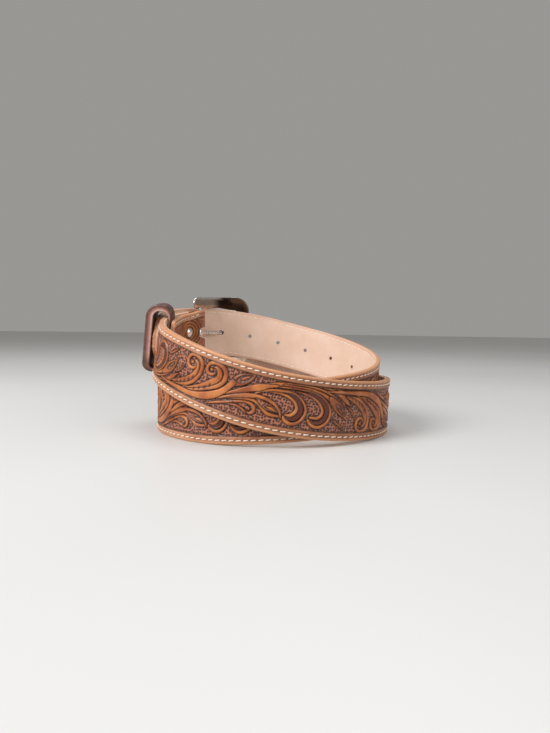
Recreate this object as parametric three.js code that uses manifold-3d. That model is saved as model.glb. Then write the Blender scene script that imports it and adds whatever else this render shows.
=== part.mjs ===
// A buckled western belt, standing on its lower edge in a coil of a little over two turns.
// Millimetres, +Z up, resting on z = 0, with the origin under the middle of the coil.
// Angles are degrees about the coil's upright axis, anticlockwise seen from above, and run on past 360
// as the strap goes round again: the buckle's fold is near 143, and the free end passes it near 863.

import * as THREE from "three";
import { mergeVertices } from "three/addons/utils/BufferGeometryUtils.js";
import Module from "manifold-3d";

// Strap: a tooled outer layer with a thin lining behind it
const STRAP_WIDTH = 38.1;
const HALF_WIDTH = STRAP_WIDTH / 2;
const FACE_THICKNESS = 2.6;
const LINING_THICKNESS = 1.2;
const LAYER_GAP = 0.3;
const LINING_INSET = 0.3;
const EDGE_BEVEL = 0.5;
const STRAP_DEPTH = FACE_THICKNESS + LAYER_GAP + LINING_THICKNESS;

// The coil: the angle, the radius of the tooled face, the height of the lower edge, and how far the
// upper edge leans outward in degrees
const COIL_AXIS = { x: -3.55, y: -2.0 };
const STATIONS = [
  { at: 130, radius: 64.2, bottom: 50.2, lean: 0 },
  { at: 144, radius: 66.9, bottom: 48.2, lean: 0 },
  { at: 152, radius: 68.3, bottom: 47, lean: -3 },
  { at: 165, radius: 70.5, bottom: 45, lean: -6 },
  { at: 180, radius: 73.2, bottom: 42.2, lean: -7.5 },
  { at: 195, radius: 75.5, bottom: 38.8, lean: -8 },
  { at: 210, radius: 78, bottom: 35, lean: -5.5 },
  { at: 230, radius: 80, bottom: 28, lean: -3.5 },
  { at: 250, radius: 82, bottom: 19.5, lean: -0.5 },
  { at: 275, radius: 85, bottom: 10, lean: 0.5 },
  { at: 300, radius: 88, bottom: 4, lean: 1.5 },
  { at: 330, radius: 91, bottom: 0.5, lean: 2 },
  { at: 360, radius: 94, bottom: 0, lean: 2 },
  { at: 395, radius: 94, bottom: 0, lean: 0 },
  { at: 415, radius: 92.6, bottom: 2.5, lean: 0 },
  { at: 435, radius: 89.6, bottom: 6.5, lean: 0 },
  { at: 457, radius: 86, bottom: 9, lean: 0 },
  { at: 480, radius: 82.2, bottom: 8, lean: 0 },
  { at: 505, radius: 78.5, bottom: 3.6, lean: 0 },
  { at: 530, radius: 75.6, bottom: 0, lean: 0 },
  { at: 550, radius: 74.3, bottom: 0, lean: 0 },
  { at: 600, radius: 76, bottom: 0, lean: 0 },
  { at: 640, radius: 80.5, bottom: 2.5, lean: 1.5 },
  { at: 670, radius: 84, bottom: 5.5, lean: 2.5 },
  { at: 700, radius: 86, bottom: 10.5, lean: 2.5 },
  { at: 740, radius: 85, bottom: 21.6, lean: 1.5 },
  { at: 780, radius: 80.5, bottom: 35, lean: 0 },
  { at: 820, radius: 74, bottom: 47.1, lean: -1 },
  { at: 850, radius: 71.5, bottom: 50.3, lean: -1.5 },
  { at: 880, radius: 75.4, bottom: 48.6, lean: -5 },
  { at: 901, radius: 79.4, bottom: 43.2, lean: -7.5 },
];
const STATION_STEP = 4;
// Near the fold the strap's sections turn upright, in line with the heel bar
const UPRIGHT_UNTIL = 145;
const SQUARE_FROM = 163;

// Free end of the strap, rounded over its last stretch inside the keeper
const TIP_AT = 901;
const TIP_STARTS_AT = 889;
const TIP_STEP = 2;
const TIP_SMALLEST = 0.25;

// Adjusting holes, counted back from the one that the prong is in and has drawn out of line
const HOLE_COUNT = 6;
const FIRST_HOLE_AT = 839.5;
const HOLE_SPACING = 26;
const HOLE_RADIUS = 1.5;
const HOLE_CUT = 6 * FACE_THICKNESS;
const PRONG_HOLE = { at: 841.7, length: 8.2, width: 4.2 };

// The turned-back end: it wraps the heel bar and lies along the inside with its tooled face showing.
// A row gives how deep that face is behind the strap's own, and its width as a share of the strap's.
const FOLD_AT = 142.8;
const BAR_RADIUS = 1.6;
const BAR_CLEARANCE = 0.45;
const FOLD_STEPS = 8;
const FOLD_DEPTH = FACE_THICKNESS + BAR_CLEARANCE + BAR_RADIUS;
const FLAP = [
  { at: 185.5, depth: 9.9, share: 0.45 },
  { at: 184.5, depth: 9.9, share: 0.62 },
  { at: 183, depth: 9.9, share: 0.78 },
  { at: 181, depth: 9.9, share: 0.89 },
  { at: 179, depth: 9.9, share: 0.93 },
  { at: 176.5, depth: 9.9, share: 0.93 },
  { at: 172.5, depth: 9.8, share: 0.93 },
  { at: 169, depth: 9.2, share: 0.93 },
  { at: 165, depth: 8.3, share: 0.93 },
  { at: 161, depth: 7.5, share: 0.93 },
  { at: 157.5, depth: 7.05, share: 0.93 },
  { at: 154.5, depth: 7, share: 0.93 },
  { at: 152, depth: 7.1, share: 0.94 },
  { at: 149.5, depth: 7.9, share: 0.96 },
  { at: 147, depth: 8.9, share: 0.99 },
  { at: 144.8, depth: 9.3, share: 1 },
];
const LINING_STARTS_AT = 152;
// Outline of the notch that the prong works in: distance past the bar, half height
const NOTCH = [
  { past: -9, half: 4.8 },
  { past: -4.2, half: 4.6 },
  { past: 0.8, half: 3.9 },
  { past: 2.6, half: 2.8 },
];
const NOTCH_RISE = 1.2;
// What is cut near the fold reaches this far inside the tooled face, and this far outside it
const FOLD_CUT = { inside: 14, outside: 0.5 };

// Snap button that holds the turned-back end
const SNAP = { at: 154.5, rise: 3.5, headRadius: 3.4, headHeight: 1.6, shankRadius: 1.5, holeRadius: 1.9 };
const SNAP_SHANK = 5.4;
// The head's dome, as shares of its radius and height
const SNAP_DOME = [
  { wide: 1, high: 0.35 },
  { wide: 0.8, high: 0.8 },
  { wide: 0.4, high: 1 },
  { wide: 0, high: 1 },
];

// Buckle: a cast frame that arches from inside the free end to outside it, with a round heel bar
const FRAME_HEIGHT = 59.7;
const FRAME_MIDDLE = { at: 125, z: 68.25 };
const FRAME_CLIMB = 0.06;
const FRAME_MM_PER_DEGREE = 1.24;
const FRAME_HEEL_AT = 152.2;
const FRAME_FAR_AT = 99;
const FRAME_CORNER = 12;
const FRAME_WIDTH = { arm: 9.4, farEnd: 11.6, widensFrom: 2 };
const FRAME_THICKNESS = 4;
const FRAME_BEVEL = 1.1;
const FRAME_HEEL_ROUNDING = 7;
const FRAME_HEEL_SMALLEST = 0.2;
const FRAME_STEPS = 64;
const FRAME_ARCH = [
  { at: 100, radius: 77.2 },
  { at: 105, radius: 76.8 },
  { at: 110, radius: 75.9 },
  { at: 120, radius: 72.3 },
  { at: 130, radius: 67.6 },
  { at: 143.4, radius: 62.2 },
  { at: 154, radius: 60 },
];

// Prong: angle along the free end, and distance out from its tooled face
const PRONG_RADIUS = 1.55;
const PRONG_TIP = { length: 2, rounding: 0.9 };
const PRONG_SIDES = 8;
const PRONG_STEPS = 34;
const PRONG_Z = 68.7;
const PRONG_ROUTE = [
  { at: 860.8, out: -9.7 },
  { at: 853, out: -8.1 },
  { at: 848, out: -6.9 },
  { at: 844.8, out: -5.9 },
  { at: 842.7, out: -4.0 },
  { at: 841.1, out: -0.8 },
  { at: 839.5, out: 1.8 },
  { at: 836.7, out: 4.3 },
  { at: 831, out: 6.9 },
  { at: 824, out: 7.3 },
  { at: 817.5, out: 6.6 },
];
const PRONG_EYE = { inner: 1.95, outer: 2.9, height: 4.6 };

// Keeper: a leather loop round the strap and the free end. Its inner leg lies between the lining and the
// turned-back end. Its size is given in the strap's own section, from the middle of the tooled face: out,
// and up.
const KEEPER = { at: 177.3, width: 11, inside: -4.5, outside: 6.8, low: -19.8, high: 23.2 };
const KEEPER_THICKNESS = { outer: 5.8, arch: 5, bottom: 2.8, inner: 2.4 };
const KEEPER_CORNER = { innerFoot: 0.8, outerFoot: 3, arch: 5 };
const KEEPER_BEVEL = 0.8;
const KEEPER_STEPS = 60;
const KEEPER_MM_PER_DEGREE = 1.27;

const ROUND_SIDES = { hole: 16, bar: 16, eye: 20, snap: 20 };

const MATERIALS = {
  tooled: new THREE.MeshStandardMaterial({ color: 0xa8673f, roughness: 0.5, metalness: 0 }),
  natural: new THREE.MeshStandardMaterial({ color: 0xd8b49c, roughness: 0.75, metalness: 0 }),
  keeper: new THREE.MeshStandardMaterial({ color: 0x6b4536, roughness: 0.55, metalness: 0 }),
  metal: new THREE.MeshStandardMaterial({ color: 0xb9b6b0, roughness: 0.25, metalness: 1 }),
};

const wasm = await Module();
wasm.setup();

const radians = THREE.MathUtils.degToRad;

// A smooth curve through one column of a table, with its slope. A stretch with no change stays flat.
function along(rows, column, at) {
  const last = rows.length - 2;
  const found = rows.findIndex((row) => row.at > at) - 1;
  const i = Math.min(Math.max(found < -1 ? last : found, 0), last);
  const rise = (j) => (rows[j + 1][column] - rows[j][column]) / (rows[j + 1].at - rows[j].at);
  const slope = (j) => {
    const before = rise(Math.max(j - 1, 0));
    const after = rise(Math.min(j, last));
    if (before === 0 || after === 0) return 0;
    return (before + after) / 2;
  };
  const span = rows[i + 1].at - rows[i].at;
  const t = (at - rows[i].at) / span;
  const [a, b] = [rows[i][column], rows[i + 1][column]];
  const [m, n] = [slope(i) * span, slope(i + 1) * span];
  const value = a + m * t + (3 * (b - a) - 2 * m - n) * t ** 2 + (2 * (a - b) + m + n) * t ** 3;
  const change = m + 2 * (3 * (b - a) - 2 * m - n) * t + 3 * (2 * (a - b) + m + n) * t ** 2;
  return { value, slope: change / span };
}

// The strap at one angle: a point on its tooled face at mid width, and the ways up, out and along
function strapFrame(at) {
  const radius = along(STATIONS, "radius", at);
  const bottom = along(STATIONS, "bottom", at);
  const lean = radians(along(STATIONS, "lean", at).value);
  const angle = radians(at);
  const round = new THREE.Vector3(Math.cos(angle), Math.sin(angle), 0);
  const across = new THREE.Vector3(-Math.sin(angle), Math.cos(angle), 0);
  const perRadian = 180 / Math.PI;
  const level = round.clone().multiplyScalar(radius.slope * perRadian);
  level.addScaledVector(across, radius.value);
  const square = THREE.MathUtils.smoothstep(at, UPRIGHT_UNTIL, SQUARE_FROM);
  const climb = Math.atan2(bottom.slope * perRadian, level.length()) * square;
  level.normalize();
  const flatOut = new THREE.Vector3(level.y, -level.x, 0);
  const flatUp = new THREE.Vector3(0, 0, Math.cos(climb)).addScaledVector(level, -Math.sin(climb));
  const up = flatUp.clone().multiplyScalar(Math.cos(lean)).addScaledVector(flatOut, Math.sin(lean));
  const out = flatOut.clone().multiplyScalar(Math.cos(lean)).addScaledVector(flatUp, -Math.sin(lean));
  const origin = new THREE.Vector3(COIL_AXIS.x, COIL_AXIS.y, bottom.value + HALF_WIDTH);
  origin.addScaledVector(round, radius.value);
  return { origin, up, out, forward: up.clone().cross(out) };
}

function onStrap(at, out, up) {
  const frame = strapFrame(at);
  return frame.origin.addScaledVector(frame.out, out).addScaledVector(frame.up, up);
}

// The angle reached after going this far along the strap
function angleAfter(from, distance) {
  const step = 0.25 * Math.sign(distance);
  let at = from;
  let gone = 0;
  while (gone < Math.abs(distance)) {
    gone += onStrap(at, 0, 0).distanceTo(onStrap(at + step, 0, 0));
    at += step;
  }
  return at;
}

// A closed solid through a row of convex sections, each a loop of points; a ring joins its own start
function sweep(sections, isRing = false) {
  const size = sections[0].length;
  const positions = sections.flat().flatMap((point) => point.toArray());
  const faces = [];
  const joins = isRing ? sections.length : sections.length - 1;
  for (let i = 0; i < joins; i += 1) {
    const here = i * size;
    const next = ((i + 1) % sections.length) * size;
    for (let j = 0; j < size; j += 1) {
      const k = (j + 1) % size;
      faces.push([here + j, next + j, next + k], [here + j, next + k, here + k]);
    }
  }
  const lastStart = (sections.length - 1) * size;
  for (let j = 1; j < size - 1 && !isRing; j += 1) {
    faces.push([0, j, j + 1], [lastStart, lastStart + j + 1, lastStart + j]);
  }
  const corner = (index) => new THREE.Vector3().fromArray(positions, index * 3);
  const volume = faces.reduce((sum, [a, b, c]) => sum + corner(a).dot(corner(b).cross(corner(c))), 0);
  const outward = volume > 0 ? faces : faces.map(([a, b, c]) => [a, c, b]);
  const geometry = new THREE.BufferGeometry();
  geometry.setAttribute("position", new THREE.Float32BufferAttribute(positions, 3));
  geometry.setIndex(outward.flat());
  return geometry;
}

function solidOf(geometry) {
  const bare = geometry.clone();
  bare.deleteAttribute("normal");
  bare.deleteAttribute("uv");
  const merged = mergeVertices(bare, 1e-4);
  const mesh = new wasm.Mesh({
    numProp: 3,
    vertProperties: new Float32Array(merged.attributes.position.array),
    triVerts: new Uint32Array(merged.index.array),
  });
  return new wasm.Manifold(mesh);
}

function geometryOf(solid) {
  const mesh = solid.getMesh();
  const geometry = new THREE.BufferGeometry();
  geometry.setAttribute("position", new THREE.BufferAttribute(mesh.vertProperties, 3));
  geometry.setIndex(new THREE.BufferAttribute(mesh.triVerts, 1));
  return geometry;
}

function cut(geometry, cutters) {
  const solid = cutters.reduce((rest, cutter) => rest.subtract(solidOf(cutter)), solidOf(geometry));
  return geometryOf(solid);
}

function join(first, second) {
  return geometryOf(solidOf(first).add(solidOf(second)));
}

// Turns a shape made along X, Y and Z to lie forward, up and out on the strap
function setOnStrap(geometry, at, out, up) {
  const frame = strapFrame(at);
  const turn = new THREE.Matrix4().makeBasis(frame.forward, frame.up, frame.out);
  geometry.applyMatrix4(turn.setPosition(onStrap(at, out, up)));
  return geometry;
}

function punch(at, up, length, width) {
  const geometry = new THREE.CylinderGeometry(0.5, 0.5, HOLE_CUT, ROUND_SIDES.hole);
  geometry.rotateX(Math.PI / 2).scale(length, width, 1);
  return setOnStrap(geometry, at, -FACE_THICKNESS, up);
}

function adjustingHoles() {
  const holes = [punch(PRONG_HOLE.at, 0, PRONG_HOLE.length, PRONG_HOLE.width)];
  for (let i = 1; i < HOLE_COUNT; i += 1) {
    holes.push(punch(angleAfter(FIRST_HOLE_AT, -i * HOLE_SPACING), 0, 2 * HOLE_RADIUS, 2 * HOLE_RADIUS));
  }
  return holes;
}

function snapHole() {
  const depth = FOLD_CUT.inside + FOLD_CUT.outside;
  const geometry = new THREE.CylinderGeometry(SNAP.holeRadius, SNAP.holeRadius, depth, ROUND_SIDES.hole);
  geometry.rotateX(Math.PI / 2);
  return setOnStrap(geometry, SNAP.at, FOLD_CUT.outside - depth / 2, SNAP.rise);
}

function notch() {
  const upper = NOTCH.map((row) => new THREE.Vector2(row.past, NOTCH_RISE + row.half));
  const lower = NOTCH.map((row) => new THREE.Vector2(row.past, NOTCH_RISE - row.half));
  const shape = new THREE.Shape([...upper, ...lower.reverse()]);
  const depth = FOLD_CUT.inside + FOLD_CUT.outside;
  const geometry = new THREE.ExtrudeGeometry(shape, { depth, bevelEnabled: false });
  return setOnStrap(geometry, FOLD_AT, -FOLD_CUT.inside, 0);
}

// How wide the strap is at an angle, as a share of its full width
function tipShare(at) {
  const past = Math.max(at - TIP_STARTS_AT, 0) / (TIP_AT - TIP_STARTS_AT);
  return Math.max(Math.sqrt(Math.max(1 - past ** 2, 0)), TIP_SMALLEST);
}

function strapAngles(from) {
  const angles = [];
  for (let at = from; at < TIP_STARTS_AT; at += STATION_STEP) angles.push(at);
  for (let at = TIP_STARTS_AT; at <= TIP_AT - 1; at += TIP_STEP) angles.push(at);
  return [...angles, TIP_AT];
}

// A section of the outer layer from its tooled face: origin, the way up and the way its face looks
function faceSection(origin, up, out, share) {
  const half = HALF_WIDTH * share;
  const corners = [
    [0, half - EDGE_BEVEL],
    [-EDGE_BEVEL, half],
    [-FACE_THICKNESS, half],
    [-FACE_THICKNESS, -half],
    [-EDGE_BEVEL, -half],
    [0, EDGE_BEVEL - half],
  ];
  return corners.map(([away, high]) => origin.clone().addScaledVector(out, away).addScaledVector(up, high));
}

function outerLayer() {
  const flap = FLAP.map((row) => {
    const frame = strapFrame(row.at);
    return faceSection(onStrap(row.at, -row.depth, 0), frame.up, frame.out.negate(), row.share);
  });
  const fold = [];
  const bar = strapFrame(FOLD_AT);
  const centre = onStrap(FOLD_AT, -FOLD_DEPTH, 0);
  for (let i = 0; i <= FOLD_STEPS; i += 1) {
    const turned = Math.PI * (1 - i / FOLD_STEPS);
    const way = bar.out.clone().multiplyScalar(Math.cos(turned));
    way.addScaledVector(bar.forward, -Math.sin(turned));
    fold.push(faceSection(centre.clone().addScaledVector(way, FOLD_DEPTH), bar.up, way, 1));
  }
  const run = strapAngles(FOLD_AT + STATION_STEP / 2).map((at) => {
    const frame = strapFrame(at);
    return faceSection(frame.origin, frame.up, frame.out, tipShare(at));
  });
  return cut(sweep([...flap, ...fold, ...run]), [...adjustingHoles(), snapHole(), notch()]);
}

function lining() {
  const near = -FACE_THICKNESS - LAYER_GAP;
  const sections = strapAngles(LINING_STARTS_AT).map((at) => {
    const half = HALF_WIDTH * tipShare(at) - LINING_INSET;
    const corners = [[near, half], [-STRAP_DEPTH, half], [-STRAP_DEPTH, -half], [near, -half]];
    return corners.map(([out, up]) => onStrap(at, out, up));
  });
  return cut(sweep(sections), [...adjustingHoles(), snapHole()]);
}

// A point of the buckle: the angle, how high above its middle line, and how far out of its arch
function onBuckle(at, high, out) {
  const radius = along(FRAME_ARCH, "radius", at).value + out;
  const z = FRAME_MIDDLE.z + FRAME_CLIMB * (FRAME_MIDDLE.at - at) + high;
  return new THREE.Vector3(
    COIL_AXIS.x + radius * Math.cos(radians(at)),
    COIL_AXIS.y + radius * Math.sin(radians(at)),
    z,
  );
}

// The middle of the heel bar, inside the fold
function barCentre(z) {
  return onStrap(FOLD_AT, -FOLD_DEPTH, 0).setZ(z);
}

function buckleFrame() {
  const top = FRAME_HEIGHT / 2;
  const heel = (FRAME_MIDDLE.at - FRAME_HEEL_AT) * FRAME_MM_PER_DEGREE;
  const far = (FRAME_MIDDLE.at - FRAME_FAR_AT) * FRAME_MM_PER_DEGREE;
  const outline = new THREE.Path();
  outline.moveTo(heel, top);
  outline.lineTo(far - FRAME_CORNER, top);
  outline.absarc(far - FRAME_CORNER, top - FRAME_CORNER, FRAME_CORNER, Math.PI / 2, 0, true);
  outline.lineTo(far, FRAME_CORNER - top);
  outline.absarc(far - FRAME_CORNER, FRAME_CORNER - top, FRAME_CORNER, 0, -Math.PI / 2, true);
  outline.lineTo(heel, -top);
  const length = outline.getLength();
  const sections = [];
  for (let i = 0; i <= FRAME_STEPS; i += 1) {
    // The steps crowd towards both heel ends, where the arms round off
    const share = (1 - Math.cos((Math.PI * i) / FRAME_STEPS)) / 2;
    const edge = outline.getPointAt(share);
    const heading = outline.getTangentAt(share);
    const inward = new THREE.Vector2(heading.y, -heading.x);
    const fromEnd = Math.min(share, 1 - share) * length;
    const shut = Math.max(1 - fromEnd / FRAME_HEEL_ROUNDING, 0);
    const full = Math.sqrt(Math.max(1 - shut ** 2, FRAME_HEEL_SMALLEST ** 2));
    const wide = THREE.MathUtils.smoothstep(edge.x, FRAME_WIDTH.widensFrom, far - FRAME_CORNER);
    const width = THREE.MathUtils.lerp(FRAME_WIDTH.arm, FRAME_WIDTH.farEnd, wide);
    const [middle, half, thick] = [width / 2, (width / 2) * full, (FRAME_THICKNESS / 2) * full];
    const bevel = FRAME_BEVEL * full;
    const corners = [
      [middle - half, 0],
      [middle - half + bevel, thick],
      [middle + half - bevel, thick],
      [middle + half, 0],
      [middle + half - bevel, -thick],
      [middle - half + bevel, -thick],
    ];
    sections.push(corners.map(([deep, out]) => {
      const spot = edge.clone().addScaledVector(inward, deep);
      return onBuckle(FRAME_MIDDLE.at - spot.x / FRAME_MM_PER_DEGREE, spot.y, out);
    }));
  }
  const barLength = FRAME_HEIGHT - FRAME_WIDTH.arm;
  const bar = new THREE.CylinderGeometry(BAR_RADIUS, BAR_RADIUS, barLength, ROUND_SIDES.bar);
  bar.rotateX(Math.PI / 2);
  bar.translate(...barCentre(onBuckle(FOLD_AT, 0, 0).z).toArray());
  return join(sweep(sections), bar);
}

// A point of the prong's own line: level, following the free end round
function onProng(route, out, high) {
  const frame = strapFrame(route.at);
  const level = new THREE.Vector3(frame.out.x, frame.out.y, 0).normalize();
  const point = frame.origin.addScaledVector(level, route.out + out);
  return point.setZ(PRONG_Z + high);
}

function prong() {
  const line = new THREE.CatmullRomCurve3(PRONG_ROUTE.map((route) => onProng(route, 0, 0)));
  const upright = new THREE.Vector3(0, 0, 1);
  const sections = [];
  for (let i = 0; i <= PRONG_STEPS; i += 1) {
    const share = i / PRONG_STEPS;
    const sideways = line.getTangentAt(share).cross(upright).normalize();
    const toTip = (1 - share) * line.getLength();
    const shut = Math.max(1 - toTip / PRONG_TIP.length, 0);
    const radius = PRONG_RADIUS * Math.sqrt(1 - PRONG_TIP.rounding * shut ** 2);
    const loop = [];
    for (let j = 0; j < PRONG_SIDES; j += 1) {
      const angle = (2 * Math.PI * j) / PRONG_SIDES;
      const point = line.getPointAt(share).addScaledVector(sideways, radius * Math.cos(angle));
      loop.push(point.addScaledVector(upright, radius * Math.sin(angle)));
    }
    sections.push(loop);
  }
  const eyeHalf = PRONG_EYE.height / 2;
  const profile = [
    new THREE.Vector2(PRONG_EYE.inner, -eyeHalf),
    new THREE.Vector2(PRONG_EYE.outer, -eyeHalf),
    new THREE.Vector2(PRONG_EYE.outer, eyeHalf),
    new THREE.Vector2(PRONG_EYE.inner, eyeHalf),
    new THREE.Vector2(PRONG_EYE.inner, -eyeHalf),
  ];
  const eye = new THREE.LatheGeometry(profile, ROUND_SIDES.eye).rotateX(Math.PI / 2);
  eye.translate(...barCentre(PRONG_Z).toArray());
  return join(sweep(sections), eye);
}

function snapButton() {
  const { headRadius, headHeight, shankRadius } = SNAP;
  const profile = [
    new THREE.Vector2(0, -SNAP_SHANK),
    new THREE.Vector2(shankRadius, -SNAP_SHANK),
    new THREE.Vector2(shankRadius, 0),
    new THREE.Vector2(headRadius, 0),
    ...SNAP_DOME.map(({ wide, high }) => new THREE.Vector2(wide * headRadius, high * headHeight)),
  ];
  const geometry = new THREE.LatheGeometry(profile, ROUND_SIDES.snap).rotateX(-Math.PI / 2);
  const depth = along([...FLAP].reverse(), "depth", SNAP.at).value;
  return setOnStrap(geometry, SNAP.at, -depth - LAYER_GAP, SNAP.rise);
}

function keeper() {
  const { inside, outside, low, high, width } = KEEPER;
  const { innerFoot, outerFoot, arch } = KEEPER_CORNER;
  const loop = new THREE.Path();
  loop.moveTo(inside + innerFoot, low);
  loop.lineTo(outside - outerFoot, low);
  loop.absarc(outside - outerFoot, low + outerFoot, outerFoot, -Math.PI / 2, 0, false);
  loop.lineTo(outside, high - arch);
  loop.absarc(outside - arch, high - arch, arch, 0, Math.PI / 2, false);
  loop.lineTo(inside + arch, high);
  loop.absarc(inside + arch, high - arch, arch, Math.PI / 2, Math.PI, false);
  loop.lineTo(inside, low + innerFoot);
  loop.absarc(inside + innerFoot, low + innerFoot, innerFoot, Math.PI, 1.5 * Math.PI, false);
  const sections = [];
  for (let i = 0; i < KEEPER_STEPS; i += 1) {
    const spot = loop.getPointAt(i / KEEPER_STEPS);
    const heading = loop.getTangentAt(i / KEEPER_STEPS);
    const level = heading.x > 0 ? KEEPER_THICKNESS.bottom : KEEPER_THICKNESS.arch;
    const upright = heading.y > 0 ? KEEPER_THICKNESS.outer : KEEPER_THICKNESS.inner;
    const thickness = level * heading.x ** 2 + upright * heading.y ** 2;
    const corners = [
      [0, -width / 2],
      [0, width / 2],
      [thickness - KEEPER_BEVEL, width / 2],
      [thickness, width / 2 - KEEPER_BEVEL],
      [thickness, KEEPER_BEVEL - width / 2],
      [thickness - KEEPER_BEVEL, -width / 2],
    ];
    sections.push(corners.map(([away, past]) => onStrap(
      KEEPER.at + past / KEEPER_MM_PER_DEGREE,
      spot.x + heading.y * away,
      spot.y - heading.x * away,
    )));
  }
  return sweep(sections, true);
}

const PIECES = [
  { name: "strap", geometry: outerLayer(), material: MATERIALS.tooled },
  { name: "lining", geometry: lining(), material: MATERIALS.natural },
  { name: "buckle_frame", geometry: buckleFrame(), material: MATERIALS.metal },
  { name: "prong", geometry: prong(), material: MATERIALS.metal },
  { name: "snap_button", geometry: snapButton(), material: MATERIALS.metal },
  { name: "keeper", geometry: keeper(), material: MATERIALS.keeper },
];

const belt = new THREE.Group();
for (const piece of PIECES) {
  const mesh = new THREE.Mesh(piece.geometry, piece.material);
  mesh.name = piece.name;
  belt.add(mesh);
}

export default belt;
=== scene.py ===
"""The looks of a buckled western belt, coiled on its lower edge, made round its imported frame."""
import math

import bpy
import numpy as np
from mathutils import Matrix


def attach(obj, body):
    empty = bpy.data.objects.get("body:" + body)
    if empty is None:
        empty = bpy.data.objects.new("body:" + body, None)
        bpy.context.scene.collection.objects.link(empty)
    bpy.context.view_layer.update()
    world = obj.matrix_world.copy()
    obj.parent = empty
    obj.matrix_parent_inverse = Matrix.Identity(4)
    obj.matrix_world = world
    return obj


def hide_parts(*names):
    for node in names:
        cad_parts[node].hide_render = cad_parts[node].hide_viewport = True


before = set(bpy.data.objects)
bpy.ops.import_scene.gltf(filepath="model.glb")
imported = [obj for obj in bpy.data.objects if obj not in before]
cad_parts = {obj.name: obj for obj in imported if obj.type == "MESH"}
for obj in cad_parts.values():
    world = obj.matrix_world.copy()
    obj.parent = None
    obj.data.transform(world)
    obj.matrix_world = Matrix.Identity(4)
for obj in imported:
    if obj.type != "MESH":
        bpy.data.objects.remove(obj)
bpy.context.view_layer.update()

# The tables below are in millimetres and degrees; meshes are scaled to metres as they are made
MM = 0.001
# Edges that turn by more than this look sharp
SHARP_OVER = 50


def table(names, rows):
    """The columns of a table by name, each as an array."""
    return dict(zip(names.split(), np.array(rows, dtype=float).T))


# Strap
STRAP_WIDTH = 38.1
HALF_WIDTH = STRAP_WIDTH / 2
FACE_THICKNESS = 2.6
LINING_THICKNESS = 1.2
LAYER_GAP = 0.3
STRAP_DEPTH = FACE_THICKNESS + LAYER_GAP + LINING_THICKNESS
EDGE_ROUND = 1.0
# How far in from the rounded edge the carving reaches its full depth, and how far the edge looks worn
FACE_SOFTENS = 0.8
EDGE_WORN = 0.6

# The lining's rounded edge, how much narrower than the face it is on each side, how close behind the face
# it starts, and the seam pressed along it
LINING_EDGE = 0.6
LINING_NARROWER = 0.1
LINING_TUCK = 0.04
LINING_SEAM = {"width": 0.7, "depth": 0.18}

# The coil, as in the frame: angle, radius of the tooled face, height of the lower edge, outward lean
COIL_AXIS = (-3.55, -2.0)
STATIONS = table("at radius bottom lean", [
    (130, 64.2, 50.2, 0), (144, 66.9, 48.2, 0), (152, 68.3, 47, -3), (165, 70.5, 45, -6),
    (180, 73.2, 42.2, -7.5), (195, 75.5, 38.8, -8), (210, 78, 35, -5.5), (230, 80, 28, -3.5),
    (250, 82, 19.5, -0.5), (275, 85, 10, 0.5), (300, 88, 4, 1.5), (330, 91, 0.5, 2),
    (360, 94, 0, 2), (395, 94, 0, 0), (415, 92.6, 2.5, 0), (435, 89.6, 6.5, 0), (457, 86, 9, 0),
    (480, 82.2, 8, 0), (505, 78.5, 3.6, 0), (530, 75.6, 0, 0), (550, 74.3, 0, 0), (600, 76, 0, 0),
    (640, 80.5, 2.5, 1.5), (670, 84, 5.5, 2.5), (700, 86, 10.5, 2.5), (740, 85, 21.6, 1.5),
    (780, 80.5, 35, 0), (820, 74, 47.1, -1), (850, 71.5, 50.3, -1.5), (880, 75.4, 48.6, -5),
    (901, 79.4, 43.2, -7.5),
])
# Between these two the strap's section turns from upright to square with its slope
UPRIGHT_UNTIL = 145
SQUARE_FROM = 163
FOLD_AT = 142.8
TIP_AT = 901
TIP_STARTS_AT = 889
TIP_SMALLEST = 0.25

# The end turned back round the heel bar
BAR_RADIUS = 1.6
FOLD_DEPTH = 4.65
FLAP = table("at depth share", [
    (144.8, 9.3, 1), (147, 8.9, .99), (149.5, 7.9, .96), (152, 7.1, .94), (154.5, 7, .93),
    (157.5, 7.05, .93), (161, 7.5, .93), (165, 8.3, .93), (169, 9.2, .93), (172.5, 9.8, .93),
    (176.5, 9.9, .93), (179, 9.9, .93), (181, 9.9, .89), (183, 9.9, .78), (184.5, 9.9, .62),
    (185.5, 9.9, .45),
])
LINING_STARTS_AT = 152
# The notch through the fold for the prong's eye: how far along the strap, and half its height there
NOTCH = [(-9, 4.8), (-4.2, 4.6), (0.8, 3.9), (2.6, 2.8)]
NOTCH_RISE = 1.2
FOLD_CUT = (-14, 0.5)

# Adjusting holes, and how far in and out of the face their cutters reach
HOLE_COUNT = 6
HOLE_REACH = (-8, 4)
FIRST_HOLE_AT = 839.5
HOLE_SPACING = 26
HOLE_RADIUS = 1.5
PRONG_HOLE = {"at": 841.7, "length": 8.2, "width": 4.2}

# Snap button
SNAP_AT = 154.5
SNAP_RISE = 3.5
SNAP_DEPTH = 7.33
SNAP_PROFILE = table("radius height", [
    (1.5, -5.4), (1.5, -0.1), (2.9, 0), (3.3, 0.1), (3.4, 0.35), (3.3, 0.62), (3.0, 0.8), (2.75, 0.84),
    (2.6, 0.9), (2.3, 1.15), (1.8, 1.38), (1.2, 1.52), (0.6, 1.58), (0.1, 1.6),
])

# Buckle
FRAME_HEIGHT = 59.7
FRAME_MIDDLE_AT = 125
FRAME_MIDDLE_Z = 68.25
FRAME_CLIMB = 0.06
FRAME_MM_PER_DEGREE = 1.24
FRAME_HEEL_AT = 152.2
FRAME_FAR_AT = 99
FRAME_CORNER = 12
FRAME_ARM = 9.4
FRAME_FAR_END = 11.6
FRAME_WIDENS_FROM = 2
FRAME_THICKNESS = 4
FRAME_HEEL_ROUNDING = 7
FRAME_HEEL_LEAST = 0.01
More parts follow.
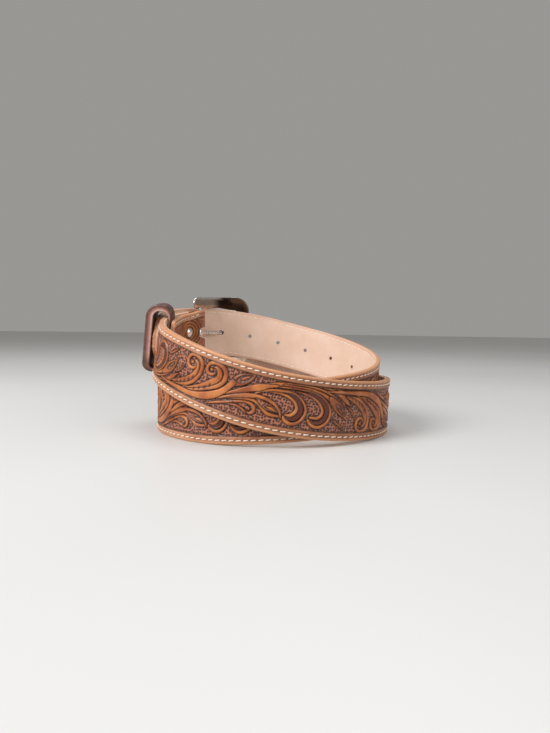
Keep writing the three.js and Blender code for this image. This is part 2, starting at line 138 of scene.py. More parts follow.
# Below 1, this power squares the frame's section a little
FRAME_SQUARING = 0.75
FRAME_ARCH = table("at radius", [
    (100, 77.2), (105, 76.8), (110, 75.9), (120, 72.3), (130, 67.6), (143.4, 62.2), (154, 60),
])
# Where the inside of the frame is tarnished: in from its rim, near its far end, on faces turned to the
# coil's middle, then more along the arms and more upward
TARNISH = {"rim": (1.0, 2.6), "end": (2, 10), "facing": (0.3, 0.7), "along": (-5, 6), "upward": (-4, 8)}
TARNISH_LEAST = 0.5

# Prong: angle along the free end, distance out from its tooled face
PRONG_RADIUS = 1.55
PRONG_Z = 68.7
PRONG_ROUTE = table("at out", [
    (860.8, -9.7), (853, -8.1), (848, -6.9), (844.8, -5.9), (842.7, -4), (841.1, -0.8), (839.5, 1.8),
    (836.7, 4.3), (831, 6.9), (824, 7.3), (817.5, 6.6),
])
PRONG_POINT = {"length": 2.4, "shut": 0.92}
PRONG_EYE = {"inner": 1.95, "outer": 2.9, "height": 4.6, "squaring": 0.6}

# Keeper, in the strap's section: out and up from the middle of the tooled face
KEEPER_AT = 177.3
KEEPER_WIDTH = 11
KEEPER_BOX = {"inside": -4.5, "outside": 6.8, "low": -19.8, "high": 23.2}
KEEPER_THICKNESS = {"outer": 5.8, "arch": 5, "bottom": 2.8, "inner": 2.4}
KEEPER_CORNER = {"inner_foot": 0.8, "outer_foot": 3, "arch": 5}
KEEPER_MM_PER_DEGREE = 1.27
KEEPER_EDGE = 1
KEEPER_GROOVE = {"at": 3.1, "width": 0.4, "depth": 0.25}
# Its cut side: share of the thickness, and how much is worn off there
KEEPER_SIDE = table("deep sunk", [
    (0, 0.5), (0.06, 0.16), (0.14, 0.04), (0.24, 0), (0.36, 0), (0.5, 0), (0.66, 0),
])
# Painted light on the keeper's cut side, fading to painted shade towards the bottom: heights between which
# it comes, its least, and the layers it shows
KEEPER_PAINTED_LIGHT_BETWEEN = (-17, -8)
KEEPER_PAINTED_LIGHT_LEAST = 0.1
# The painted highlight along the cut side: where in its thickness, and how wide
KEEPER_PAINTED_HIGHLIGHT = {"at": 0.2, "width": 0.13}
# Where the cut side's own reddish-brown shows, in its thickness
KEEPER_BODY = (-0.75, -0.45)

# Fineness of the meshes
ALONG_STEP = 0.42
ACROSS_COUNT = 88
EDGE_COUNT = 4
FLAP_STEP = 0.36
FOLD_COUNT = 34
# The first rows after the fold that are left out, since the fold already covers them
ROWS_IN_FOLD = 5
LINING_STEP = 1.5
LINING_ACROSS_COUNT = 22
HOLE_SIDES = 40
FRAME_COUNT = 170
FRAME_SIDES = 24
BAR_SIDES = 28
EYE_COUNT = 48
EYE_SIDES = 16
PRONG_COUNT = 90
PRONG_SIDES = 20
PRONG_STEPS = 12
SNAP_SIDES = 48
KEEPER_COUNT = 220
KEEPER_ACROSS_COUNT = 25
CORNER_COUNT = 14

# Carving: one repeat along the strap, every second one upside down
REPEAT = 121
REPEAT_START = 120
FIELD_HALF = 13.7
STITCH_LINE = 16.3

# A form's points, in tenths of a millimetre: along the repeat, across the strap, half width
TENTHS = 10
FORMS = {
    "first hook rim": [
        (530, 22, 5), (580, 56, 10), (640, 69, 11), (710, 76, 10), (770, 72, 9), (820, 46, 9), (853, 6, 9),
        (860, -30, 10), (848, -68, 10), (816, -100, 11), (776, -110, 12), (744, -96, 13), (730, -78, 10)],
    "first hook band": [
        (700, 63, 4), (750, 58, 12), (794, 38, 15), (822, 0, 16), (825, -34, 16), (806, -69, 15),
        (774, -82, 11), (745, -76, 6)],
    "first hook lip": [
        (620, 54, 3), (680, 59, 7), (735, 50, 9), (778, 26, 10), (799, -6, 10), (796, -36, 11),
        (770, -59, 11), (734, -62, 5)],
    "second hook rim": [
        (660, 96, 5), (740, 104, 8), (820, 105, 9), (895, 96, 9), (950, 74, 10), (996, 42, 10),
        (1022, 2, 10), (1026, -36, 10), (1010, -74, 10), (978, -102, 11), (940, -112, 12), (904, -98, 12),
        (884, -76, 10)],
    "second hook band": [
        (820, 89, 4), (890, 82, 9), (945, 58, 13), (984, 24, 15), (1000, -16, 15), (988, -56, 15),
        (956, -82, 13), (920, -84, 10), (898, -72, 5)],
    "second hook lip": [
        (780, 90, 3), (840, 80, 7), (900, 62, 8), (946, 30, 9), (970, -8, 10), (964, -38, 10),
        (938, -56, 11), (895, -57, 8)],
    "upper sweep": [
        (580, 86, 12), (660, 112, 12), (750, 126, 9), (850, 129, 8), (930, 121, 8), (1000, 102, 8),
        (1060, 74, 8), (1105, 42, 7), (1130, 12, 4)],
    "second sweep": [
        (700, 116, 5), (800, 116, 6), (880, 112, 7), (950, 96, 9), (1000, 74, 13), (1040, 52, 20),
        (1066, 30, 14), (1074, 16, 4)],
    "third sweep": [
        (960, 133, 4), (1030, 122, 8), (1090, 96, 13), (1130, 72, 18), (1160, 46, 10), (1186, 30, 4)],
    "fourth sweep": [(1030, 133, 3), (1095, 126, 6), (1150, 102, 7), (1185, 70, 6), (1204, 40, 3)],
    "fifth sweep": [(1120, 132, 3), (1190, 120, 7), (1250, 96, 8), (1290, 64, 7), (1310, 34, 3)],
    "small leaf": [
        (1020, 70, 15), (1050, 45, 26), (1085, 18, 32), (1115, -8, 26), (1138, -34, 12), (1156, -60, 2)],
    "small leaf heart": [(1065, 34, 4), (1090, 16, 16), (1114, -6, 13), (1134, -30, 3)],
    "small leaf core": [(1080, 14, 3), (1100, 0, 7), (1120, -20, 3)],
    "first vein": [(1146, 32, 3), (1180, 12, 7), (1210, -16, 5), (1226, -44, 3)],
    "second vein": [(1044, -56, 3), (1074, -74, 7), (1110, -96, 7), (1140, -120, 3)],
    "small hook lobe": [(380, -84, 5), (425, -76, 8), (465, -80, 9), (496, -94, 8), (514, -108, 3)],
    "small hook": [
        (360, -70, 4), (410, -59, 9), (460, -44, 10), (506, -38, 11), (542, -52, 12), (549, -79, 12),
        (532, -99, 9), (512, -94, 4)],
    "small hook eye": [(454, -62, 6), (490, -61, 13), (516, -73, 11)],
    "low stem": [(240, -126, 4), (280, -110, 8), (320, -94, 10), (365, -78, 9), (410, -62, 6)],
    "leaf lower side": [
        (380, -49, 5), (430, -32, 8), (480, -20, 9), (530, -17, 10), (570, -30, 11), (600, -53, 12),
        (628, -74, 12), (664, -79, 11), (694, -78, 8), (713, -84, 3)],
    "leaf upper side": [
        (320, -66, 6), (370, -40, 10), (420, -18, 13), (470, -1, 16), (520, 9, 15), (570, 13, 12),
        (614, 8, 12), (654, -6, 11), (684, -28, 10), (704, -56, 9), (715, -84, 4)],
    "leaf heart": [
        (550, -2, 4), (580, -16, 13), (616, -30, 20), (650, -42, 20), (680, -53, 10), (694, -59, 2)],
    "leaf core": [(616, -36, 3), (644, -40, 10), (672, -50, 6), (688, -57, 2)],
    "branch": [
        (316, -48, 3), (360, -22, 8), (410, 4, 12), (460, 30, 17), (510, 52, 21), (560, 71, 22),
        (600, 86, 14), (660, 100, 8)],
    "bud": [(384, 44, 20), (406, 66, 31), (436, 84, 36), (468, 102, 30), (494, 120, 17), (513, 135, 3)],
    "bud heart": [(408, 70, 4), (434, 83, 20), (460, 99, 19), (482, 114, 11), (498, 126, 2)],
    "bud core": [(430, 84, 3), (452, 95, 11), (474, 110, 7), (488, 120, 2)],
    "main stem": [
        (-220, -112, 4), (-120, -115, 10), (-20, -114, 14), (60, -113, 16), (120, -109, 19), (180, -98, 23),
        (230, -82, 26), (276, -61, 26), (312, -37, 23), (342, -9, 21), (366, 20, 20), (386, 50, 21)],
    "first scroll leaf": [
        (84, 98, 4), (104, 96, 10), (120, 78, 13), (123, 50, 15), (115, 22, 18), (96, -7, 20),
        (66, -32, 19), (32, -52, 17), (-4, -68, 14), (-40, -80, 10), (-76, -90, 4)],
    "first scroll": [
        (106, 68, 5), (98, 53, 9), (76, 45, 11), (50, 52, 12), (36, 76, 12), (38, 104, 12), (56, 124, 12),
        (86, 131, 12), (120, 124, 13), (146, 102, 14), (156, 68, 15), (152, 33, 14), (138, 2, 13),
        (118, -27, 13), (90, -51, 12), (54, -70, 11), (16, -83, 8), (-30, -93, 4)],
    "first scroll eye": [(71, 80, 11), (75, 81, 11)],
    "second scroll leaf": [
        (242, 102, 4), (262, 104, 12), (284, 88, 18), (291, 60, 20), (279, 32, 22), (252, 10, 23),
        (216, -17, 21), (176, -44, 18), (136, -63, 14), (100, -77, 9), (66, -88, 4)],
    "second scroll": [
        (260, 74, 5), (248, 60, 9), (226, 54, 11), (204, 61, 12), (194, 81, 12), (198, 105, 12),
        (216, 122, 13), (244, 130, 13), (276, 128, 14), (306, 116, 15), (326, 92, 16), (330, 60, 16),
        (320, 29, 15), (298, 3, 14), (268, -18, 12), (230, -38, 11), (186, -58, 10), (136, -77, 8),
        (84, -91, 4)],
    "second scroll eye": [(226, 83, 11), (230, 84, 11)],
}
# The forms that aren't raised: a stained one is hollow and dark, a seeded one hollow and dimpled
STYLES = {
    "first hook band": "stained", "second hook band": "stained", "small leaf heart": "seeded",
    "small hook eye": "seeded", "leaf heart": "seeded", "bud heart": "seeded",
}
# Slanted notches pressed along the scrolls' leaves: along the repeat, across the strap
LEAF_NOTCHES = [
    (24.2, -1.2), (20.9, -3.5), (17.2, -5.3), (13.4, -6.9), (10.7, -.6), (7.9, -3.1), (4.8, -5),
    (1.4, -6.6), (-2, -7.8),
]
LEAF_NOTCH = {"slant": (0.35, 0.94), "length": 1.5, "width": 0.6, "taper": 0.15, "depth": 0.25}
# Depths in the leather
GROUND_DEPTH = 0.75
CUT_DEPTH = 0.3
# A raised form's edge is rounded down, and its middle is crowned; a hollow one is sunk in its own depth
FORM_EDGE_DEPTH = 0.5
FORM_EDGE_WIDTH = 0.8
FORM_CROWN = {"rise": 0.15, "between": (0.5, 2.4)}
FORM_FADE = 0.12
HOLLOW_RIM_DEPTH = 0.1
HOLLOW_DEPTH = {"stained": 0.5, "seeded": 0.35}
GROOVE_WIDTH = {"outside": 0.55, "inside": 0.22}
# How far outside the box round its middle line a form is pressed
MARGIN = 3.5
# The stamped dimples: how far apart, how deep, how far each strays in its cell, and their soft edge
MATTING_PITCH = 1.7
MATTING_DEPTH = 0.2
MATTING_FROM = 0.2
MATTING_STRAY = 0.6
DIMPLE_EDGE = (0.5, 0.85)
# How much of the matting shows in a seeded form
SEEDED_SHARE = 0.8
# The line pressed beside the plain border, the stitches' channel, and the border's soft edge
BORDER_LINE = {"width": 0.45, "depth": 0.25, "dark": 0.9}
STITCH_CHANNEL = {"width": 0.6, "depth": 0.25, "dark": 0.35}
BORDER_FADE = (-0.1, 0.3)
# Rings tooled round the snap on the turned-back end, and the ground that starts outside them
SNAP_RINGS = [4.4, 6.7, 9, 11.3]
SNAP_RING = {"width": 0.55, "depth": 0.3, "dark": 0.9}
RINGED_GROUND = 0.6
RINGED_FADE = 1
# What a cell's scatter is made from: its column, its row and a seed are taken times these
SCATTER = (12.9898, 78.233, 37.719)
SCATTER_GAIN = 43758.5453


def smoothstep(x, low, high):
    t = np.clip((x - low) / (high - low), 0, 1)
    return t * t * (3 - 2 * t)


def circle(count):
    return np.linspace(0, 2 * np.pi, count, endpoint=False)


def polar(angle, radius, z=0):
    return np.stack([radius * np.cos(angle), radius * np.sin(angle), z + 0 * angle], -1)


def distances(points):
    """How far each point is along the line through them all."""
    return np.concatenate(([0], np.cumsum(np.linalg.norm(np.diff(points, axis=0), axis=1))))


def mirrored(side, edge, face, sign=1):
    """A section's values over its side and edge, its face, and back the same way on the other half."""
    return np.concatenate([side, edge, face, sign * edge[..., ::-1], sign * side[..., ::-1]], axis=-1)


def along(rows, column, at):
    """A smooth curve through one column, with its slope. A stretch with no change stays flat."""
    knots, values = rows["at"], rows[column]
    rise = np.diff(values) / np.diff(knots)
    inner = np.where(rise[:-1] * rise[1:] == 0, 0, (rise[:-1] + rise[1:]) / 2)
    slopes = np.concatenate(([rise[0]], inner, [rise[-1]]))
    i = np.clip(np.searchsorted(knots, at, side="right") - 1, 0, len(knots) - 2)
    span = knots[i + 1] - knots[i]
    t = (at - knots[i]) / span
    a, b = values[i], values[i + 1]
    m, n = slopes[i] * span, slopes[i + 1] * span
    value = a + m * t + (3 * (b - a) - 2 * m - n) * t ** 2 + (2 * (a - b) + m + n) * t ** 3
    change = m + 2 * (3 * (b - a) - 2 * m - n) * t + 3 * (2 * (a - b) + m + n) * t ** 2
    return value, change / span


def strap_frame(at):
    """Where the strap is at each angle: its face's middle, and the ways up, out and along."""
    at = np.asarray(at, dtype=float)
    radius, radius_slope = along(STATIONS, "radius", at)
    bottom, bottom_slope = along(STATIONS, "bottom", at)
    lean = np.radians(along(STATIONS, "lean", at)[0])[..., None]
    angle = np.radians(at)
    flat = np.zeros_like(angle)
    around = np.stack([np.cos(angle), np.sin(angle), flat], -1)
    across = np.stack([-np.sin(angle), np.cos(angle), flat], -1)
    level = around * np.degrees(radius_slope)[..., None] + across * radius[..., None]
    length = np.linalg.norm(level, axis=-1)
    climb = np.arctan2(np.degrees(bottom_slope), length) * smoothstep(at, UPRIGHT_UNTIL, SQUARE_FROM)
    climb = climb[..., None]
    level = level / length[..., None]
    flat_out = np.stack([level[..., 1], -level[..., 0], flat], -1)
    flat_up = np.array([0, 0, 1]) * np.cos(climb) - level * np.sin(climb)
    up = flat_up * np.cos(lean) + flat_out * np.sin(lean)
    out = flat_out * np.cos(lean) - flat_up * np.sin(lean)
    axis = np.stack([flat + COIL_AXIS[0], flat + COIL_AXIS[1], bottom + HALF_WIDTH], -1)
    return axis + around * radius[..., None], up, out, np.cross(up, out)


def on_strap(at, out_by, up_by):
    origin, up, out, _ = strap_frame(at)
    return origin + out * out_by[..., None] + up * up_by[..., None]


def placed(spots, away, high):
    """A loop of points round each spot of the strap, out and up from it."""
    origin, up, out = (part[:, None] for part in spots[:3])
    return origin + out * away[..., None] + up * high[..., None]


# How far along the strap each angle is, from the fold
ANGLE_STEP = 0.2
ANGLES = np.arange(FOLD_AT, TIP_AT + ANGLE_STEP / 2, ANGLE_STEP)
MIDDLE = on_strap(ANGLES, 0 * ANGLES, 0 * ANGLES)
RUNS = distances(MIDDLE)


def angle_at(run):
    return np.interp(run, RUNS, ANGLES)


def run_at(angle):
    return np.interp(angle, ANGLES, RUNS)


def smooth_line(points, steps=5):
    """A Catmull-Rom curve through the points, as closer points."""
    known = np.vstack([2 * points[0] - points[1], points, 2 * points[-1] - points[-2]])
    t = np.linspace(0, 1, steps, endpoint=False)[:, None]
    spans = []
    for a, b, c, d in zip(known[:-3], known[1:-2], known[2:-1], known[3:]):
        bend, twist = 2 * a - 5 * b + 4 * c - d, 3 * b - a - 3 * c + d
        spans.append((2 * b + (c - a) * t + bend * t ** 2 + twist * t ** 3) / 2)
    return np.vstack([*spans, known[-2]])


def depth_inside(line, x, y):
    """How far each point is inside the outline of a form whose middle line and half widths are given."""
    best = np.full(x.shape, -np.inf)
    for (ax, ay, aw), (bx, by, bw) in zip(line[:-1], line[1:]):
        dx, dy = bx - ax, by - ay
        t = np.clip(((x - ax) * dx + (y - ay) * dy) / (dx * dx + dy * dy), 0, 1)
        best = np.maximum(best, aw + (bw - aw) * t - np.hypot(x - ax - t * dx, y - ay - t * dy))
    return best


def scatter(i, j, seed):
    """A repeatable number from 0 to 1 for each cell of a lattice."""
    return np.mod(np.sin(i * SCATTER[0] + j * SCATTER[1] + seed * SCATTER[2]) * SCATTER_GAIN, 1)


def matting(x, y):
    """Stamped dimples over the sunk ground: 1 at the middle of a dimple, falling to 0."""
    column, row = np.floor(x / MATTING_PITCH), np.floor(y / MATTING_PITCH)
    nearest = np.full(x.shape, np.inf)
    for across in (-1, 0, 1):
        for upward in (-1, 0, 1):
            i, j = column + across, row + upward
            dx = x - (i + MATTING_FROM + MATTING_STRAY * scatter(i, j, 1)) * MATTING_PITCH
            dy = y - (j + MATTING_FROM + MATTING_STRAY * scatter(i, j, 2)) * MATTING_PITCH
            nearest = np.minimum(nearest, np.hypot(dx, dy))
    return 1 - smoothstep(nearest, *DIMPLE_EDGE)


def press_forms(fields, x, y):
    """Presses one repeat's forms and notches into the fields, each over what is already there."""
    for form, points in FORMS.items():
        style = STYLES.get(form, "raised")
        line = smooth_line(np.array(points) / TENTHS)
        low, high = line[:, :2].min(0) - MARGIN, line[:, :2].max(0) + MARGIN
        near = (x > low[0]) & (x < high[0]) & (y > low[1]) & (y < high[1])
        if not near.any():
            continue
        inside = depth_inside(line, x[near], y[near])
        if style == "raised":
            rounded = np.sin(np.clip(inside / FORM_EDGE_WIDTH, 0, 1) * np.pi / 2)
            height = FORM_EDGE_DEPTH * (rounded - 1)
            height = height + FORM_CROWN["rise"] * smoothstep(inside, *FORM_CROWN["between"])
        else:
            height = -HOLLOW_RIM_DEPTH - HOLLOW_DEPTH[style] * np.clip(inside, 0, 1)
        over = np.clip(inside / FORM_FADE + 0.5, 0, 1)
        outside = np.minimum(inside, 0) / GROOVE_WIDTH["outside"]
        within = np.maximum(inside, 0) / GROOVE_WIDTH["inside"]
        groove = np.exp(-outside ** 2 - within ** 2)
        smooth = 1 - SEEDED_SHARE if style == "seeded" else 1
        for name, value in (("height", height), ("form", smooth), ("stain", style == "stained")):
            fields[name][near] += over * (value - fields[name][near])
        fields["cut"][near] = np.maximum(fields["cut"][near] * (1 - over), groove)
    slant_x, slant_y = LEAF_NOTCH["slant"]
    length = LEAF_NOTCH["length"]
    for place, rise in LEAF_NOTCHES:
        dx, dy = x - place, y - rise
        lengthwise = slant_x * dx + slant_y * dy
        sideways = slant_y * dx - slant_x * dy
        width = LEAF_NOTCH["width"] - LEAF_NOTCH["taper"] * np.clip(lengthwise, -length, length)
        mark = np.exp(-(lengthwise / length) ** 4 - (sideways / width) ** 2)
        fields["cut"] = np.maximum(fields["cut"], mark)
        fields["height"] -= LEAF_NOTCH["depth"] * mark


def pressed(distance, width):
    """1 on a pressed line, falling to 0 at some distance from it."""
    return np.exp(-(distance / width) ** 2)


def marked(distance, mark):
    """How deep and how dark a pressed line is."""
    line = pressed(distance, mark["width"])
    return mark["depth"] * line, mark["dark"] * line


def bordered(fields, from_edge):
    """A face's fields inside the border, with the line beside the border and the stitches' channel."""
    border = HALF_WIDTH - FIELD_HALF
    field = smoothstep(from_edge, border + BORDER_FADE[0], border + BORDER_FADE[1])
    line_depth, line_dark = marked(from_edge - border, BORDER_LINE)
    channel_depth, channel_dark = marked(from_edge - HALF_WIDTH + STITCH_LINE, STITCH_CHANNEL)
    inside = (fields["height"] - CUT_DEPTH * fields["cut"]) * field
    return {
        "height": inside - line_depth - channel_depth,
        "cut": np.maximum(np.maximum(fields["cut"] * field, line_dark), channel_dark),
        "ground": (1 - fields["form"]) * field,
        "dots": fields["dots"] * (1 - fields["form"]) * field,
        "stain": fields["stain"] * field,
        "border": 1 - field,
    }


def carving(run, rise, from_edge):
    """The tooled face at each point: height, and how much it is cut, ground, dotted, stained and border."""
    dots = matting(run, rise)
    fields = {name: np.zeros(run.shape) for name in ("height", "form", "stain", "cut")}
    fields["height"] -= GROUND_DEPTH
    fields["dots"] = dots
    first = int((run.min() - REPEAT_START) // REPEAT)
    last = int((run.max() - REPEAT_START) // REPEAT) + 1
    for repeat in range(first, last + 1):
        flip = 1 if repeat % 2 == 0 else -1
        press_forms(fields, run - REPEAT_START - repeat * REPEAT, rise * flip)
    fields["height"] -= MATTING_DEPTH * dots * (1 - fields["form"])
    return bordered(fields, from_edge)


def ringed(run, rise, from_edge):
    """The turned-back end's face: rings round the snap's place, which is at a run of zero."""
    radius = np.hypot(run, rise - SNAP_RISE)
    nearest = np.min([np.abs(radius - ring) for ring in SNAP_RINGS], axis=0)
    ring_depth, ring_dark = marked(nearest, SNAP_RING)
    past_rings = smoothstep(radius, SNAP_RINGS[-1], SNAP_RINGS[-1] + RINGED_FADE)
    dots = matting(run, rise) * past_rings
    fields = {
        "height": -ring_depth - MATTING_DEPTH * dots,
        "form": 1 - RINGED_GROUND * past_rings,
        "stain": np.zeros(run.shape),
        "cut": ring_dark,
        "dots": dots,
    }
    return bordered(fields, from_edge)


def link(thing):
    bpy.context.scene.collection.objects.link(thing)


def add_object(name, mesh, material, slot, *nodes):
    """Links a finished mesh as a piece of the belt that stands for the nodes."""
    piece = bpy.data.objects.new(name, mesh)
    mesh.name = name
    link(piece)
    mesh.materials.clear()
    mesh.materials.append(material)
    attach(piece, "root")
    if nodes:
        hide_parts(*nodes)


def new_mesh(points, faces, fields=None):
    """A mesh from points in millimetres, with one number a point for each field."""
    mesh = bpy.data.meshes.new("mesh")
    mesh.from_pydata((np.asarray(points) * MM).tolist(), [], faces)
    for field, values in (fields or {}).items():
        layer = mesh.attributes.new(field, "FLOAT", "POINT")
        layer.data.foreach_set("value", np.asarray(values, dtype=np.float32).ravel())
    mesh.validate()
    mesh.shade_smooth()
    mesh.set_sharp_from_angle(angle=math.radians(SHARP_OVER))
    return mesh


def loft_faces(rows, columns, ring=False):
    """Faces through rows of closed loops, outward for loops that turn anticlockwise seen from the end."""
    here = np.arange(rows if ring else rows - 1)[:, None] * columns
    after = (np.arange(1, rows + 1 if ring else rows) % rows)[:, None] * columns
    j = np.arange(columns)[None, :]
    k = (j + 1) % columns
    faces = np.stack([here + j, after + j, after + k, here + k], -1).reshape(-1, 4).tolist()
    if not ring:
        faces.append(list(range(columns)))
        faces.append([(rows - 1) * columns + i for i in reversed(range(columns))])
    return faces


def outward(points, faces):
    """The faces of a closed form, turned over where they look inward."""
    triangles = np.array([(face[0], b, c) for face in faces for b, c in zip(face[1:-1], face[2:])])
    a, b, c = (points[triangles[:, i]] for i in range(3))
    volume = np.einsum("ij,ij->", a, np.cross(b, c))
    return faces if volume > 0 else [face[::-1] for face in faces]


def loft(loops, fields=None, ring=False):
    """A closed mesh through loops of points, an array of rows by columns by three."""
    loops = np.asarray(loops)
    rows, columns = loops.shape[:2]
    points = loops.reshape(-1, 3)
    flat = {key: np.broadcast_to(value, (rows, columns)) for key, value in (fields or {}).items()}
    return new_mesh(points, outward(points, loft_faces(rows, columns, ring)), flat)


def cut_away(mesh, cutter):
    """Takes the cutter mesh's volume out of a mesh."""
    whole = bpy.data.objects.new("whole", mesh)
    tool = bpy.data.objects.new("tool", cutter)
    for thing in (whole, tool):
        link(thing)
    cut = whole.modifiers.new("cut", "BOOLEAN")
    cut.operation = "DIFFERENCE"
    cut.solver = "EXACT"
    cut.object = tool
    ready = whole.evaluated_get(bpy.context.evaluated_depsgraph_get())
    result = bpy.data.meshes.new_from_object(ready)
    result.set_sharp_from_angle(angle=math.radians(SHARP_OVER))
    for thing in (whole, tool):
        bpy.data.objects.remove(thing)
    return result


def joined(parts):
    """One mesh from several pairs of points and faces."""
    points, faces, start = [], [], 0
    for part_points, part_faces in parts:
        points.append(part_points)
        faces.extend([[start + i for i in face] for face in outward(part_points, part_faces)])
        start += len(part_points)
    return new_mesh(np.vstack(points), faces)


# Strap

# It is made in four stretches, whose seams are out of sight from the front
SEAMS_AT = [KEEPER_AT, 410, 667, TIP_AT]


def half_width_share(at):
    past = np.clip((at - TIP_STARTS_AT) / (TIP_AT - TIP_STARTS_AT), 0, 1)
    return np.maximum(np.sqrt(1 - past ** 2), TIP_SMALLEST)


def outer_sections(spots, run, share, tooling=carving):
    """The outer layer's sections, with its carved face and rounded edges, and what shows there."""
    half = (HALF_WIDTH * share)[:, None]
    face = np.linspace(-1, 1, ACROSS_COUNT)[None, :] * (half - EDGE_ROUND)
    turn = np.linspace(np.pi / 2, 0, EDGE_COUNT, endpoint=False)
    edge_out = EDGE_ROUND * (np.cos(turn) - 1)[None, :] + 0 * half
    edge_up = half - EDGE_ROUND + EDGE_ROUND * np.sin(turn)[None, :]
    from_edge = half - np.abs(face)
    shown = tooling(run[:, None] + 0 * face, face, from_edge)
    height = shown["height"] * smoothstep(from_edge, EDGE_ROUND, EDGE_ROUND + FACE_SOFTENS)
    worn = 1 - smoothstep(from_edge, EDGE_ROUND, EDGE_ROUND + EDGE_WORN)
    none, none_edge = 0 * half, 0 * edge_out
    fields = {name: mirrored(none, none_edge, shown[name]) for name in ("cut", "ground", "dots", "stain")}
    fields["border"] = mirrored(none + 1, none_edge + 1, shown["border"])
    fields["rim"] = mirrored(none + 1, none_edge + 1, worn)
    away = mirrored(none - FACE_THICKNESS, edge_out, height)
    return placed(spots, away, mirrored(-half, -edge_up, face, -1)), fields


def run_sections(start, end):
    """The outer layer between two distances along the strap from the fold."""
    run = np.linspace(start, end, int((end - start) / ALONG_STEP) + 1)
    at = angle_at(run)
    return outer_sections(strap_frame(at), run, half_width_share(at))


def fold_sections(end):
    """The outer layer from its turned-back end, round the heel bar and on to a distance along the strap."""
    flap_at = np.arange(FLAP["at"][-1], FLAP["at"][0], -FLAP_STEP)
    origin, up, out, _ = strap_frame(flap_at)
    origin = origin - out * along(FLAP, "depth", flap_at)[0][:, None]
    bar_origin, bar_up, bar_out, bar_forward = strap_frame(FOLD_AT)
    turned = np.linspace(np.pi, 0, FOLD_COUNT)[:, None]
    way = bar_out * np.cos(turned) - bar_forward * np.sin(turned)
    fold = bar_origin - bar_out * FOLD_DEPTH + way * FOLD_DEPTH
    run = np.linspace(0, end, int(end / ALONG_STEP) + 1)[ROWS_IN_FOLD:]
    run_origin, run_up, run_out, _ = strap_frame(angle_at(run))
    origins = np.vstack([origin, fold, run_origin])
    ups = np.vstack([up, np.repeat(bar_up[None], len(fold), 0), run_up])
    outs = np.vstack([-out, way, run_out])
    gone = distances(origins)
    turned_back = len(flap_at) + len(fold) // 2
    snap_run = np.interp(-SNAP_AT, -flap_at, gone[:len(flap_at)])
    face_run = gone - gone[len(flap_at) + len(fold) - 1]
    face_run[:turned_back] = gone[:turned_back] - snap_run

    def tooling(along_by, rise, from_edge):
        halves = []
        for made, rows in ((ringed, slice(None, turned_back)), (carving, slice(turned_back, None))):
            halves.append(made(along_by[rows], rise[rows], from_edge[rows]))
        return {name: np.vstack([half[name] for half in halves]) for name in halves[0]}

    share = np.ones(len(gone))
    share[:len(flap_at)] = along(FLAP, "share", flap_at)[0]
    return outer_sections((origins, ups, outs), face_run, share, tooling)


def hole_cutters():
    """Cutters across the strap for the prong's oval hole and the round ones."""
    holes = [(PRONG_HOLE["at"], PRONG_HOLE["length"], PRONG_HOLE["width"])]
    for i in range(1, HOLE_COUNT):
        at = angle_at(run_at(FIRST_HOLE_AT) - i * HOLE_SPACING)
        holes.append((at, 2 * HOLE_RADIUS, 2 * HOLE_RADIUS))
    angle = circle(HOLE_SIDES)[:, None]
    parts = []
    for at, length, width in holes:
        origin, up, out, forward = strap_frame(at)
        loop = origin + forward * (length / 2 * np.cos(angle)) + up * (width / 2 * np.sin(angle))
        points = np.vstack([loop + out * reach for reach in HOLE_REACH])
        parts.append((points, loft_faces(2, HOLE_SIDES)))
    return joined(parts)


def notch_cutter():
    origin, up, out, forward = strap_frame(FOLD_AT)
    outline = [(past, NOTCH_RISE + half) for past, half in NOTCH]
    outline += [(past, NOTCH_RISE - half) for past, half in reversed(NOTCH)]
    flat = np.array([origin + forward * past + up * high for past, high in outline])
    points = np.vstack([flat + out * reach for reach in FOLD_CUT])
    return joined([(points, loft_faces(2, len(flat)))])


def make_strap(material):
    seams = [run_at(angle) for angle in SEAMS_AT]
    names = ["strap_fold", "strap_first_turn", "strap_second_turn", "strap_free_end"]
    stretches = [fold_sections(seams[0]), *(run_sections(a, b) for a, b in zip(seams[:-1], seams[1:]))]
    meshes = [loft(*stretch) for stretch in stretches]
    meshes[0] = cut_away(meshes[0], notch_cutter())
    meshes[-1] = cut_away(meshes[-1], hole_cutters())
    for name, mesh in zip(names, meshes):
        add_object(name, mesh, material, "tooled_leather", "strap")


def make_lining(material):
    start, end = run_at(LINING_STARTS_AT), run_at(TIP_AT)
    at = angle_at(np.linspace(start, end, int((end - start) / LINING_STEP)))
    half = (HALF_WIDTH * half_width_share(at) - LINING_NARROWER)[:, None]
    turn = np.linspace(np.pi / 2, 0, EDGE_COUNT)
    edge_up = half - LINING_EDGE + LINING_EDGE * np.sin(turn)[None, :]
    edge_out = -STRAP_DEPTH + LINING_EDGE * (1 - np.cos(turn))[None, :] + 0 * half
    face = np.linspace(1, -1, LINING_ACROSS_COUNT)[None, 1:-1] * (half - LINING_EDGE)
    seam = pressed(np.abs(face) - STITCH_LINE, LINING_SEAM["width"]) * LINING_SEAM["depth"]
    away = mirrored(-FACE_THICKNESS - LINING_TUCK + 0 * half, edge_out, -STRAP_DEPTH + seam)
    loops = placed(strap_frame(at), away, mirrored(half, edge_up, face, -1))
    rim = mirrored(1 + 0 * half, 1 + 0 * edge_out, 0 * face)
    mesh = cut_away(loft(loops, {"rim": rim}), hole_cutters())
    add_object("strap_lining", mesh, material, "natural_leather", "lining")


# Stitching

STITCH_PITCH = 4.65
STITCH_LENGTH = 3.7
STITCH_SLANT = 0.22
STITCH_SINK = 0.42
STITCH_SEAT = 0.05
STITCH_FLATNESS = 0.8
STITCH_TAPER = 0.85
STITCH_COUNT = 7
STITCH_SIDES = 6


def outside_line(at):
    return 0 * at, STITCH_LINE + 0 * at


def inside_line(at):
    return 0 * at - STRAP_DEPTH, STITCH_LINE + 0 * at


def turned_back_line(at):
    half = HALF_WIDTH * along(FLAP, "share", at)[0]
    return -along(FLAP, "depth", at)[0], half - HALF_WIDTH + STITCH_LINE


